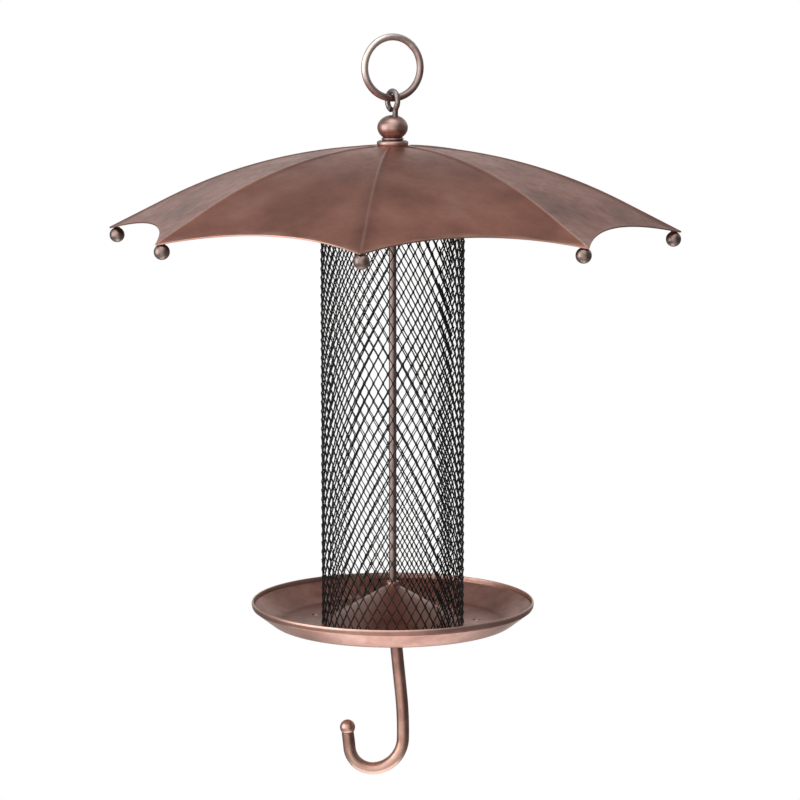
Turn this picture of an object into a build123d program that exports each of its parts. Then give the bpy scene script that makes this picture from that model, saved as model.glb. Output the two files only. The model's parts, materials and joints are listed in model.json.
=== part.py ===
from build123d import *
import math
import os

# A hanging bird feeder: an umbrella-shaped sheet roof over a tube of expanded metal, with a
# dished feeding tray below it, a hanging ring above and a crook hook underneath.
# Millimetres, +Z up. The origin is the hanging point, at the inside top of the hanging ring.
# The front is -Y and the crook opens towards -X.

# ---------------------------------------------------------------- driving dimensions
# hanging ring and wire eye
RING_WIRE_R = 1.85
RING_R = 15.75  # centre line of the ring's wire
RING_TURN = 24.0  # degrees that the ring's plane is turned about Z from the X axis
EYE_WIRE_R = 1.45
EYE_R = 4.9  # centre line of the eye's loop
EYE_TURN = -58.0  # degrees that the eye's plane is turned about Z from the X axis
EYE_SLACK = 0.3  # play between the ring's wire and the top of the eye
EYE_BEND_R = 3.0  # centre line of the bend from the limb into the loop
EYE_LIMB_OFFSET = 2.6  # from the axis to the limb
EYE_LIMB_END_Z = -43.6
EYE_END_ANGLE = 15.0  # degrees before the bottom of the loop where the wire is cut

# finial
BALL_R = 8.0
BALL_HALF_HEIGHT = 6.5
BALL_CENTRE_Z = -44.8
NECK_R = 5.8
NECK_TOP_Z = -49.8
COLLAR_R = 8.25
COLLAR_TOP_Z = -51.4
COLLAR_BOTTOM_Z = -54.6
COLLAR_ROUND = 1.2
FIT = 0.05  # radial play of a running fit
BORE_SPARE = 0.5  # how much deeper the ball's bore is than the rod's end
TRIM = 5.0  # how far a blank or a cutter reaches past what it shapes

# roof
RIBS = 8
RIB_TURN = -5.8  # degrees from -Y to the front rib, about Z
ROOF_GAP = 0.2  # under the finial and over the tube
ROOF_TIP_R = 150.0
ROOF_ARC_R = 266.0  # each rib starts as an arc of this radius
ROOF_ARC_END_R = 120.0  # where the arc ends, and the rib runs on straight to the tip
ROOF_SHEET = 0.6
SCALLOP_DEPTH = 11.0  # how far the edge draws in between two tips, in plan
TIP_BALL_R = 4.0
TIP_BALL_CENTRE_R = 146.0
TIP_BALL_PLAY = 0.015  # thickness of the brazing film between a ball and the sheet

# rod, mesh tube and seed cone
ROD_R = 2.0
ROD_TOP_Z = -46.5
ROD_BOTTOM_Z = -312.5
TUBE_R = 38.0
TUBE_WALL = 0.25  # holds as much metal as the open mesh
BAND_HEIGHT = 6.0
BAND_WALL = 0.55
CONE_R = 36.8
CONE_HEIGHT = 21.2
CONE_TOP_R = 3.2
CONE_SHEET = 0.5
NUT_R = 3.3
NUT_HEIGHT = 2.6
NUT_ROUND = 1.0

# feeding tray
FLOOR_Z = -306.4
TRAY_SHEET = 0.8
TRAY_R = 75.0
TRAY_FLOOR_R = 62.5
RIM_TOP_Z = -294.9
RIM_HEIGHT = 2.8
RIM_WALL = 1.0
RIM_OVERHANG = 0.5  # how far the rim stands out from the flared wall under it
RIM_LEAN = 0.4  # how far the rim's inner face leans in at its foot
RIM_ROUND = 0.45
TRAY_BEND_R = 9.0
FLOOR_INSET = 0.5  # how much further in the bend starts on the inside of the sheet
DRAINS = 7
DRAIN_R = 2.0
DRAIN_CIRCLE_R = 44.6
DRAIN_TURN = 4.2  # degrees from +X to the first drain hole

# crook hook
WASHER_R = 8.0
WASHER_THICK = 1.2
COUPLING_R = 5.0
COUPLING_HEIGHT = 8.0
COUPLING_ROUND = 1.0
BAR_R = 3.3
HOOK_BALL_R = 4.1
HOOK_LINE = {  # centre line of the bar in the XZ plane
    "top": (1.15, -312.8),
    "lean_end": (4.45, -346.0),
    "bowl_start": (5.4, -370.5),
    "bowl_bottom": (-8.4, -386.7),
    "bowl_end": (-23.2, -375.4),
    "end": (-24.15, -366.9),
}
HOOK_BALL_PLACE = (-24.2, -364.2)

# ---------------------------------------------------------------- worked-out places
RING_CENTRE_Z = -(RING_R - RING_WIRE_R)
RING_LOW_WIRE_Z = RING_CENTRE_Z - RING_R
EYE_CENTRE_Z = RING_LOW_WIRE_Z + RING_WIRE_R + EYE_SLACK - (EYE_R - EYE_WIRE_R)
EYE_JOIN_ANGLE = math.degrees(math.asin((EYE_LIMB_OFFSET + EYE_BEND_R) / (EYE_R + EYE_BEND_R)))
EYE_LIMB_TOP_Z = EYE_CENTRE_Z - (EYE_R + EYE_BEND_R) * math.cos(math.radians(EYE_JOIN_ANGLE))
ROOF_TOP_Z = COLLAR_BOTTOM_Z - ROOF_GAP
HALF_GORE = math.radians(180 / RIBS)
ROOF_SLOPE = ROOF_ARC_END_R / math.sqrt(ROOF_ARC_R**2 - ROOF_ARC_END_R**2)  # of the straight end
FLOOR_UNDER_Z = FLOOR_Z - TRAY_SHEET
COUPLING_TOP_Z = FLOOR_UNDER_Z - WASHER_THICK
CONE_SLOPE = math.atan(CONE_HEIGHT / CONE_R)
CONE_TOP_Z = FLOOR_Z + (CONE_R - CONE_TOP_R) * math.tan(CONE_SLOPE)

os.makedirs("parts", exist_ok=True)


def roof_drop(rib_radius):
    """How far a rib has fallen below the top of the roof at this radius."""
    arc_r = min(rib_radius, ROOF_ARC_END_R)
    on_arc = ROOF_ARC_R - math.sqrt(ROOF_ARC_R**2 - arc_r**2)
    return on_arc + (rib_radius - arc_r) * ROOF_SLOPE


def under_roof(radius):
    """Lowest height of the roof's underside at this radius, which is between two ribs."""
    return ROOF_TOP_Z - roof_drop(radius / math.cos(HALF_GORE)) - ROOF_SHEET


TUBE_TOP_Z = under_roof(TUBE_R + BAND_WALL) - ROOF_GAP


def turned(points):
    """A closed outline of (radius, height) points, as a face in the XZ plane."""
    return make_face(Plane.XZ * Polyline(*points, close=True))


def lathe(face):
    """A solid turned about the Z axis from a face in the XZ plane."""
    return revolve(face, Axis.Z)


def tube(outer_r, inner_r, low_z, high_z):
    """A plain tube about the Z axis."""
    return lathe(turned([(inner_r, low_z), (outer_r, low_z), (outer_r, high_z), (inner_r, high_z)]))


def hanging_ring():
    """Closed wire ring, upright over the eye."""
    upright = Rot(0, 0, RING_TURN) * Rot(90, 0, 0) * Torus(RING_R, RING_WIRE_R)
    return Pos(0, 0, RING_CENTRE_Z) * upright


def wire_eye():
    """Bent wire eye: a limb out of the ball, a bend, then a loop that stops short of the limb."""
    limb = Line((EYE_LIMB_OFFSET, EYE_LIMB_END_Z), (EYE_LIMB_OFFSET, EYE_LIMB_TOP_Z))
    bend_centre = (EYE_LIMB_OFFSET + EYE_BEND_R, EYE_LIMB_TOP_Z)
    bend = CenterArc(bend_centre, EYE_BEND_R, 180, EYE_JOIN_ANGLE - 90)
    sweep_angle = 360 - EYE_JOIN_ANGLE - EYE_END_ANGLE
    loop = CenterArc((0, EYE_CENTRE_Z), EYE_R, EYE_JOIN_ANGLE - 90, sweep_angle)
    path = Plane.XZ * Wire([limb, bend, loop])
    section = Plane(path @ 0, z_dir=path % 0) * Circle(EYE_WIRE_R)
    return Rot(0, 0, EYE_TURN) * sweep(section, path=path)


def eye_hole():
    """The blind hole in the ball that holds the eye's limb."""
    depth = BALL_CENTRE_Z + BALL_HALF_HEIGHT - EYE_LIMB_END_Z
    blank = Pos(EYE_LIMB_OFFSET, 0, EYE_LIMB_END_Z + depth / 2) * Cylinder(EYE_WIRE_R + FIT / 2, depth)
    return Rot(0, 0, EYE_TURN) * blank


def finial_ball():
    """Slightly flattened ball with a tapped hole for the rod's top end."""
    half = EllipticalCenterArc((0, BALL_CENTRE_Z), BALL_R, BALL_HALF_HEIGHT, -90, arc_size=180)
    bottom_z = BALL_CENTRE_Z - BALL_HALF_HEIGHT
    axis_line = Line((0, bottom_z + 2 * BALL_HALF_HEIGHT), (0, bottom_z))
    ball = lathe(make_face(Plane.XZ * Wire([half, axis_line])))
    ball -= Pos(0, 0, NECK_TOP_Z - BALL_R) * Cylinder(2 * BALL_R, 2 * BALL_R)
    ball -= tube(ROD_R + FIT, 0, NECK_TOP_Z - TRIM, ROD_TOP_Z + BORE_SPARE)
    return ball - eye_hole()


def finial_collar():
    """Turned neck and flange under the ball, bored for the rod."""
    neck = tube(NECK_R, ROD_R + FIT, COLLAR_TOP_Z, NECK_TOP_Z)
    flange = tube(COLLAR_R, ROD_R + FIT, COLLAR_BOTTOM_Z, COLLAR_TOP_Z)
    outside = flange.edges().filter_by(GeomType.CIRCLE).sort_by(SortBy.RADIUS)[-2:]
    return neck + fillet(outside, COLLAR_ROUND)


def dome(top_z):
    """Solid eight-sided dome, down to below the tips. Gores are straight across between ribs."""
    height = roof_drop(ROOF_TIP_R) + 2 * TRIM
    foot_r = ROOF_TIP_R + 2 * TRIM
    blank = Pos(0, 0, ROOF_TOP_Z + TRIM - height / 2) * Box(2 * foot_r, 2 * foot_r, height)
    shape = Rot(0, 0, RIB_TURN) * blank
    arc_end = math.degrees(math.acos(ROOF_ARC_END_R / ROOF_ARC_R))
    narrow_r = ROOF_ARC_R * math.cos(HALF_GORE)
    crown_centre = (0, top_z - ROOF_ARC_R)
    crown = EllipticalCenterArc(crown_centre, narrow_r, ROOF_ARC_R, arc_end, arc_size=180 - 2 * arc_end)
    foot_x = foot_r * math.cos(HALF_GORE)
    foot_z = top_z - roof_drop(foot_r)
    sides = Polyline(crown @ 1, (-foot_x, foot_z), (foot_x, foot_z), crown @ 0)
    outline = Wire([crown, *sides.edges()])
    vault = extrude(Plane.XZ * make_face(outline), 2 * ROOF_TIP_R, both=True)
    for gore_pair in range(RIBS // 2):
        shape &= Rot(0, 0, RIB_TURN + (gore_pair + 0.5) * 360 / RIBS) * vault
    return shape


def roof_canopy():
    """Pressed sheet roof: a thin dome with an arc cut out of its edge between every two tips."""
    shell = dome(ROOF_TOP_Z) - dome(ROOF_TOP_Z - ROOF_SHEET)
    half_chord = ROOF_TIP_R * math.sin(HALF_GORE)
    scallop_r = (half_chord**2 + SCALLOP_DEPTH**2) / (2 * SCALLOP_DEPTH)
    scallop_centre_r = ROOF_TIP_R * math.cos(HALF_GORE) - SCALLOP_DEPTH + scallop_r
    cutter = Pos(scallop_centre_r, 0, ROOF_TOP_Z) * Cylinder(scallop_r, 3 * roof_drop(ROOF_TIP_R))
    for gore in range(RIBS):
        shell -= Rot(0, 0, RIB_TURN - 90 + (gore + 0.5) * 360 / RIBS) * cutter
    return shell - Pos(0, 0, ROOF_TOP_Z) * Cylinder(ROD_R + FIT, 2 * TRIM)


def rib_tip_ball(number):
    """Ball brazed under the tip of one rib. Number 1 is at the front."""
    gore_slope = ROOF_SLOPE / math.cos(HALF_GORE)
    under_sheet = (TIP_BALL_R + TIP_BALL_PLAY) * math.hypot(1, gore_slope)
    centre_z = ROOF_TOP_Z - roof_drop(TIP_BALL_CENTRE_R) - ROOF_SHEET - under_sheet
    turn = Rot(0, 0, RIB_TURN - 90 + (number - 1) * 360 / RIBS)
    return turn * Pos(TIP_BALL_CENTRE_R, 0, centre_z) * Sphere(TIP_BALL_R)


def centre_rod():
    """Round rod on the axis that ties the finial, the tray and the hook together."""
    return tube(ROD_R, 0, ROD_BOTTOM_Z, ROD_TOP_Z)


def mesh_tube():
    """Seed tube that stands on the tray's floor."""
    return tube(TUBE_R, TUBE_R - TUBE_WALL, FLOOR_Z, TUBE_TOP_Z - BAND_WALL)


def tube_top_band():
    """Folded band that binds the cut top edge of the seed tube."""
    inner_r = TUBE_R - TUBE_WALL - BAND_WALL
    band = tube(TUBE_R + BAND_WALL, inner_r, TUBE_TOP_Z - BAND_HEIGHT, TUBE_TOP_Z)
    return band - mesh_tube()


def seed_cone():
    """Sheet cone that turns the seed outwards to the tray."""
    cone = turned(
        [
            (CONE_R, FLOOR_Z),
            (CONE_TOP_R, CONE_TOP_Z),
            (ROD_R + FIT, CONE_TOP_Z),
            (ROD_R + FIT, CONE_TOP_Z - CONE_SHEET),
            (CONE_TOP_R - CONE_SHEET * math.tan(CONE_SLOPE / 2), CONE_TOP_Z - CONE_SHEET),
            (CONE_R - CONE_SHEET / math.sin(CONE_SLOPE), FLOOR_Z),
        ]
    )
    return lathe(cone)


def cone_nut():
    """Low round nut that holds the cone down on the rod."""
    nut = tube(NUT_R, ROD_R, CONE_TOP_Z, CONE_TOP_Z + NUT_HEIGHT)
    top_edge = nut.edges().filter_by(GeomType.CIRCLE).group_by(Axis.Z)[-1].sort_by(SortBy.RADIUS)[-1]
    return fillet(top_edge, NUT_ROUND)


def feeding_tray():
    """Dished tray with a flared wall, a thick beaded rim and a ring of drain holes."""
    rim_low_z = RIM_TOP_Z - RIM_HEIGHT
    outline = turned(
        [
            (ROD_R, FLOOR_UNDER_Z),
            (TRAY_FLOOR_R, FLOOR_UNDER_Z),
            (TRAY_R - RIM_OVERHANG, rim_low_z),
            (TRAY_R, rim_low_z),
            (TRAY_R, RIM_TOP_Z),
            (TRAY_R - RIM_WALL, RIM_TOP_Z),
            (TRAY_R - RIM_WALL - RIM_LEAN, rim_low_z),
            (TRAY_FLOOR_R - FLOOR_INSET, FLOOR_Z),
            (ROD_R, FLOOR_Z),
        ]
    )
    bends = outline.vertices().filter_by(lambda v: abs(v.X - TRAY_FLOOR_R) < 2 * FLOOR_INSET)
    outline = fillet(bends, TRAY_BEND_R)
    outer = outline.vertices().group_by(Axis.X)[-1]
    inner_top = outline.vertices().group_by(Axis.Z)[-1].sort_by(Axis.X)[0]
    tray = lathe(fillet([*outer, inner_top], RIM_ROUND))
    for drain in range(DRAINS):
        turn = Rot(0, 0, DRAIN_TURN + drain * 360 / DRAINS)
        tray -= turn * Pos(DRAIN_CIRCLE_R, 0, FLOOR_Z) * Cylinder(DRAIN_R, 4 * TRAY_SHEET)
    return tray


def tray_washer():
    """Flat washer between the tray and the hook's coupling."""
    return tube(WASHER_R, ROD_R, COUPLING_TOP_Z, FLOOR_UNDER_Z)


def hook_path():
    """Centre line of the crook: a leaning shank, then tangent arcs round the bowl."""
    shank = Line(HOOK_LINE["top"], HOOK_LINE["lean_end"])
    stretches = [shank]
    stops = ["lean_end", "bowl_start", "bowl_bottom", "bowl_end", "end"]
    for start, stop in zip(stops, stops[1:]):
        tangent = stretches[-1] % 1
        stretches.append(TangentArc(HOOK_LINE[start], HOOK_LINE[stop], tangent=tangent))
    return Plane.XZ * Wire(stretches)


def crook_hook():
    """Round bar bent into a crook."""
    path = hook_path()
    section = Plane(path @ 0, z_dir=path % 0) * Circle(BAR_R)
    return sweep(section, path=path)


def hook_ball(bar):
    """Ball on the free end of the crook."""
    x, z = HOOK_BALL_PLACE
    return Pos(x, 0, z) * Sphere(HOOK_BALL_R) - bar


def hook_coupling(bar):
    """Round coupling that joins the rod's lower end to the top of the crook."""
    low_z = COUPLING_TOP_Z - COUPLING_HEIGHT
    body = tube(COUPLING_R, 0, low_z, COUPLING_TOP_Z)
    ends = body.edges().filter_by(GeomType.CIRCLE).group_by(Axis.Z)[0]
    return fillet(ends, COUPLING_ROUND) - centre_rod() - bar


def main():
    """Build every piece and write one STEP file for each."""
    bar = crook_hook()
    pieces = {
        "hanging_ring": hanging_ring(),
        "wire_eye": wire_eye(),
        "finial_ball": finial_ball(),
        "finial_collar": finial_collar(),
        "roof_canopy": roof_canopy(),
        "centre_rod": centre_rod(),
        "mesh_tube": mesh_tube(),
        "tube_top_band": tube_top_band(),
        "seed_cone": seed_cone(),
        "cone_nut": cone_nut(),
        "feeding_tray": feeding_tray(),
        "tray_washer": tray_washer(),
        "hook_coupling": hook_coupling(bar),
        "crook_hook": bar,
        "hook_ball": hook_ball(bar),
    }
    for number in range(1, RIBS + 1):
        pieces[f"rib_tip_ball_{number}"] = rib_tip_ball(number)
    for name, piece in pieces.items():
        export_step(piece, f"parts/{name}.step")


main()
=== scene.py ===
"""A hanging bird feeder: an umbrella-shaped copper roof over a tube of black expanded metal.

Each sub-assembly is a class. It holds its own sizes in millimetres, takes its place from the
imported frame, models its pieces with Blender's operators, and dresses them with a finish.
"""

import json
import logging
import math
from collections.abc import Callable, Iterator, Sequence
from contextlib import contextmanager
from dataclasses import dataclass
from enum import Enum

import bmesh
import bpy
from mathutils import Matrix, Vector


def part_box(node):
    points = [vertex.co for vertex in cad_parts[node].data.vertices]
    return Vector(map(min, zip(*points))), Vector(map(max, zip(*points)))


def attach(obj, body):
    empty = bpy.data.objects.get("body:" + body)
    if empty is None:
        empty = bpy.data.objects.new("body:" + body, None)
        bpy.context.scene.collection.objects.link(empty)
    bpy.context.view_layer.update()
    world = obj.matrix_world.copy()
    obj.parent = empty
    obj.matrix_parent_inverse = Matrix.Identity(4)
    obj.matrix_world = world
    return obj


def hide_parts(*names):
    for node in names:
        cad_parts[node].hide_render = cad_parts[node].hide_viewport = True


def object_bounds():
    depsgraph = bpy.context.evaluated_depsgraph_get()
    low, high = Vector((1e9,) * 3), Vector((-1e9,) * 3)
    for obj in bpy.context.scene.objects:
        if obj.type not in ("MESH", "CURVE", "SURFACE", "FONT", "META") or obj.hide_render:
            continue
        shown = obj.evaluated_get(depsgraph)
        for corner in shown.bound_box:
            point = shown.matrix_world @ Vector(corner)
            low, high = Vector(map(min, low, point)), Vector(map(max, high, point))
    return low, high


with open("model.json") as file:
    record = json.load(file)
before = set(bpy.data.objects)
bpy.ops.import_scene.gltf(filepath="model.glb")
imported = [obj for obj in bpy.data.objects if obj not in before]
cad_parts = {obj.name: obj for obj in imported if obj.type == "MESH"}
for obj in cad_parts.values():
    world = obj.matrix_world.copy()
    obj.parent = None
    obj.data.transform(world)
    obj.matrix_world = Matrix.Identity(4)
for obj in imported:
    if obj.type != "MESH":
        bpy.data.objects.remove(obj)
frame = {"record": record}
CAD_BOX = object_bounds()

MM = 0.001
FULL_TURN = 2 * math.pi
MERGE_GAP = 0.01 * MM
log = logging.getLogger("feeder")

Point = tuple[float, float]
Corner = tuple[float, float, float]
Colour = tuple[float, float, float, float]
Piece = bpy.types.Object
Socket = bpy.types.NodeSocket


# ---------------------------------------------------------------- the frame's places


@dataclass(frozen=True)
class Span:
    """Where a CAD node lies, in metres."""

    low: Vector
    high: Vector

    @classmethod
    def of(cls, node: str) -> "Span":
        """The span of one CAD node at rest."""
        return cls(*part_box(node))

    @property
    def centre(self) -> Vector:
        """Middle of the node's box."""
        return (self.low + self.high) / 2

    @property
    def radius(self) -> float:
        """Half of the node's width along X."""
        return (self.high.x - self.low.x) / 2

    @property
    def height(self) -> float:
        """How tall the node is."""
        return self.high.z - self.low.z

    @property
    def sizes_mm(self) -> Corner:
        """Radius, low end and high end, in millimetres."""
        return self.radius / MM, self.low.z / MM, self.high.z / MM


# ---------------------------------------------------------------- modelling helpers


class Kind(Enum):
    """What part of a mesh is picked in edit mode."""

    VERTS = "VERT"
    EDGES = "EDGE"
    FACES = "FACE"


def activate(piece: Piece) -> None:
    """Make one piece the only selected and active object.

    Args:
        piece: The object to work on.
    """
    bpy.ops.object.select_all(action="DESELECT")
    piece.select_set(True)
    bpy.context.view_layer.objects.active = piece


@contextmanager
def editing(piece: Piece) -> Iterator[None]:
    """Edit mode on one piece, left again at the end.

    Args:
        piece: The object to edit.
    """
    activate(piece)
    bpy.ops.object.mode_set(mode="EDIT")
    bpy.ops.mesh.select_mode(type="VERT")
    yield
    bpy.ops.object.mode_set(mode="OBJECT")


def pick(piece: Piece, kind: Kind, test: Callable[..., bool]) -> None:
    """Select, in edit mode, only those parts of a mesh that pass a test.

    Args:
        piece: The object being edited.
        kind: Whether vertices, edges or faces are tested.
        test: Takes one vertex, edge or face, and says whether it is wanted.
    """
    bpy.ops.mesh.select_mode(type=kind.value)
    bpy.ops.mesh.select_all(action="DESELECT")
    mesh = bmesh.from_edit_mesh(piece.data)
    for item in [item for item in getattr(mesh, kind.name.lower()) if test(item)]:
        item.select_set(True)
    bmesh.update_edit_mesh(piece.data)


def add(name: str, adder: Callable[..., object], **settings: object) -> Piece:
    """Add a primitive at its size and place, with the object itself at the origin.

    Args:
        name: The piece's name.
        adder: One of Blender's primitive operators.
        **settings: What the operator is given.

    Returns:
        The new object.
    """
    bpy.ops.object.select_all(action="DESELECT")
    adder(**settings)
    piece = bpy.context.object
    piece.name = name
    bpy.ops.object.transform_apply(location=True, rotation=True, scale=True)
    return piece


def apply_modifier(piece: Piece, kind: str, **settings: object) -> None:
    """Add a modifier to a piece and apply it.

    Args:
        piece: The object that is changed.
        kind: Blender's name for the modifier's type.
        **settings: The modifier's own settings.
    """
    modifier = piece.modifiers.new(kind.title(), kind)
    for key, value in settings.items():
        setattr(modifier, key, value)
    activate(piece)
    bpy.ops.object.modifier_apply(modifier=modifier.name)


def shade(piece: Piece, sharp_from: float) -> None:
    """Shade a piece smooth, except at edges sharper than this many degrees."""
    activate(piece)
    bpy.ops.object.shade_smooth_by_angle(angle=math.radians(sharp_from))


def tidy(piece: Piece, sharp_from: float = 35.0) -> None:
    """Merge doubles, close holes, turn the normals outwards and shade smooth.

    Args:
        piece: A closed shell.
        sharp_from: Edges sharper than this many degrees stay sharp.
    """
    with editing(piece):
        bpy.ops.mesh.select_all(action="SELECT")
        bpy.ops.mesh.remove_doubles(threshold=MERGE_GAP)
        bpy.ops.mesh.fill_holes(sides=0)
        bpy.ops.mesh.normals_make_consistent(inside=False)
    shade(piece, sharp_from)


def ease_ends(piece: Piece, round_mm: float, segments: int) -> None:
    """Round the rims of a wire's or bar's cut ends, the only faces with many sides.

    Args:
        piece: The wire or bar.
        round_mm: Size of the round.
        segments: How many edges the round has.
    """
    with editing(piece):
        pick(piece, Kind.FACES, lambda face: len(face.verts) > 4)
        bpy.ops.mesh.bevel(offset=round_mm * MM, segments=segments, affect="EDGES")


def punch(piece: Piece, middle: Vector, radius_mm: float, depth_mm: float, sides: int) -> None:
    """Cut an upright round cylinder out of a piece.

    Args:
        piece: The sheet that is cut.
        middle: The cylinder's middle.
        radius_mm: Its radius.
        depth_mm: Its length.
        sides: How many sides it has.
    """
    cutter = add(
        "round_cutter", bpy.ops.mesh.primitive_cylinder_add, vertices=sides, radius=radius_mm * MM,
        depth=depth_mm * MM, location=middle,
    )
    apply_modifier(piece, "BOOLEAN", object=cutter, operation="DIFFERENCE", solver="EXACT")
    bpy.data.objects.remove(cutter)


def towards(angle: float) -> Vector:
    """The level direction at this angle from the X axis, in radians."""
    return Vector((math.cos(angle), math.sin(angle), 0))


def rounded(corners: Sequence[Corner], steps: int = 5) -> list[Point]:
    """An outline with its corners rounded.

    Args:
        corners: Radius, height and corner round of each corner, all in millimetres.
        steps: How many edges each round has.

    Returns:
        The outline's points, in millimetres. A corner with no round stays as it is.
    """
    outline: list[Point] = []
    for index, (r, z, round_mm) in enumerate(corners):
        here = Vector((r, z))
        if round_mm <= 0:
            outline.append((r, z))
            continue
        before = Vector(corners[index - 1][:2]) - here
        after = Vector(corners[(index + 1) % len(corners)][:2]) - here
        half = before.angle(after) / 2
        reach = min(round_mm / math.tan(half), 0.49 * before.length, 0.49 * after.length)
        start = here + before.normalized() * reach
        end = here + after.normalized() * reach
        centre = here + (before.normalized() + after.normalized()).normalized() * reach / math.cos(half)
        arm = start - centre
        sweep = arm.angle_signed(end - centre)
        for step in range(steps + 1):
            turn = -sweep * step / steps
            cos, sin = math.cos(turn), math.sin(turn)
            outline.append((centre.x + arm.x * cos - arm.y * sin, centre.y + arm.x * sin + arm.y * cos))
    return outline


def lathe(name: str, outline: Sequence[Point], steps: int, rubbed: float | None = None) -> Piece:
    """Draw a closed outline by extruding one point, then spin it round the Z axis.

    Args:
        name: The piece's name.
        outline: Radius and height of each point, in millimetres.
        steps: How many sides the turned piece has.
        rubbed: How far its finish is rubbed back, where that is the same all over.

    Returns:
        The turned piece.
    """
    points = [*outline, outline[0]]
    piece = add(name, bpy.ops.mesh.primitive_plane_add, size=MM)
    with editing(piece):
        bpy.ops.mesh.select_all(action="SELECT")
        bpy.ops.mesh.merge(type="CENTER")
        bpy.ops.transform.translate(value=(points[0][0] * MM, 0, points[0][1] * MM))
        for (r_from, z_from), (r_to, z_to) in zip(points, points[1:]):
            move = ((r_to - r_from) * MM, 0, (z_to - z_from) * MM)
            bpy.ops.mesh.extrude_vertices_move(TRANSFORM_OT_translate={"value": move})
        bpy.ops.mesh.select_all(action="SELECT")
        bpy.ops.mesh.spin(steps=steps, angle=FULL_TURN, center=(0, 0, 0), axis=(0, 0, 1))
    tidy(piece)
    if rubbed is not None:
        mark(piece, "rubbed", lambda co: rubbed)
    return piece


def turn_about_z(piece: Piece, degrees: float) -> None:
    """Turn a piece about the feeder's axis and keep its object unturned.

    Args:
        piece: The object to turn.
        degrees: How far, anticlockwise seen from above.
    """
    activate(piece)
    piece.rotation_euler = (0, 0, math.radians(degrees))
    bpy.ops.object.transform_apply(location=False, rotation=True, scale=False)


def copy_of(piece: Piece, name: str) -> Piece:
    """A copy of a piece with its own mesh.

    Args:
        piece: The object to copy.
        name: The copy's name.

    Returns:
        The copy.
    """
    twin = piece.copy()
    twin.data = piece.data.copy()
    twin.name = name
    bpy.context.scene.collection.objects.link(twin)
    return twin


def mark(piece: Piece, name: str, value_at: Callable[[Vector], float]) -> None:
    """Write a number from 0 to 1 on every point of a piece, for a finish to read.

    Args:
        piece: The finished piece.
        name: The attribute's name.
        value_at: Gives the number for a point.
    """
    values = [min(1.0, max(0.0, value_at(vertex.co))) for vertex in piece.data.vertices]
    attribute = piece.data.attributes.new(name, "FLOAT", "POINT")
    attribute.data.foreach_set("value", values)


# ---------------------------------------------------------------- finishes


def linear(hex_colour: str) -> Colour:
    """Linear colour from an sRGB hex value.

    Args:
        hex_colour: Six hex digits, with no sign before them.

    Returns:
        Red, green and blue as linear light, and an alpha of 1.
    """
    parts = [int(hex_colour[i : i + 2], 16) / 255 for i in (0, 2, 4)]
    red, green, blue = (c / 12.92 if c <= 0.04045 else ((c + 0.055) / 1.055) ** 2.4 for c in parts)
    return red, green, blue, 1.0


def add_node(
    tree: bpy.types.NodeTree,
    kind: str,
    values: dict[str | int, object] | None = None,
    links: dict[str | int, Socket] | None = None,
    stops: Sequence[tuple[float, Colour]] = (),
    **settings: object,
) -> bpy.types.Node:
    """Add one node to a node tree.

    Args:
        tree: The tree that takes the node.
        kind: Blender's name for the node's type.
        values: Fixed values for its inputs.
        links: Sockets that feed its inputs.
        stops: Places and colours, for a colour ramp.
        **settings: The node's own settings.

    Returns:
        The new node.
    """
    node = tree.nodes.new(kind)
    for key, value in settings.items():
        setattr(node, key, value)
    for key, value in (values or {}).items():
        node.inputs[key].default_value = value
    for key, socket in (links or {}).items():
        tree.links.new(socket, node.inputs[key])
    for index, (place, colour) in enumerate(stops):
        elements = node.color_ramp.elements
        element = elements[index] if index < len(elements) else elements.new(place)
        element.position = place
        element.color = colour
    return node


def grey(level: float) -> Colour:
    """A grey of this level, for a ramp that carries a number."""
    return level, level, level, 1.0


class Wiring:
    """A node tree, with the groups of nodes that are used again and again."""

    def __init__(self, tree: bpy.types.NodeTree) -> None:
        """Take the tree that is wired up."""
        self.tree = tree

    def ramp(self, level: Socket, *stops: tuple[float, Colour]) -> Socket:
        """The colour that a ramp with these stops gives for a level."""
        return add_node(self.tree, "ShaderNodeValToRGB", links={"Fac": level}, stops=stops).outputs["Color"]

    def lay(self, colour: Colour, under: Socket, share: Socket) -> Socket:
        """A colour laid over the one under it, as strongly as share says."""
        links = {"Factor": share, "A": under}
        return add_node(self.tree, "ShaderNodeMix", {"B": colour}, links, data_type="RGBA").outputs[2]


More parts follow.
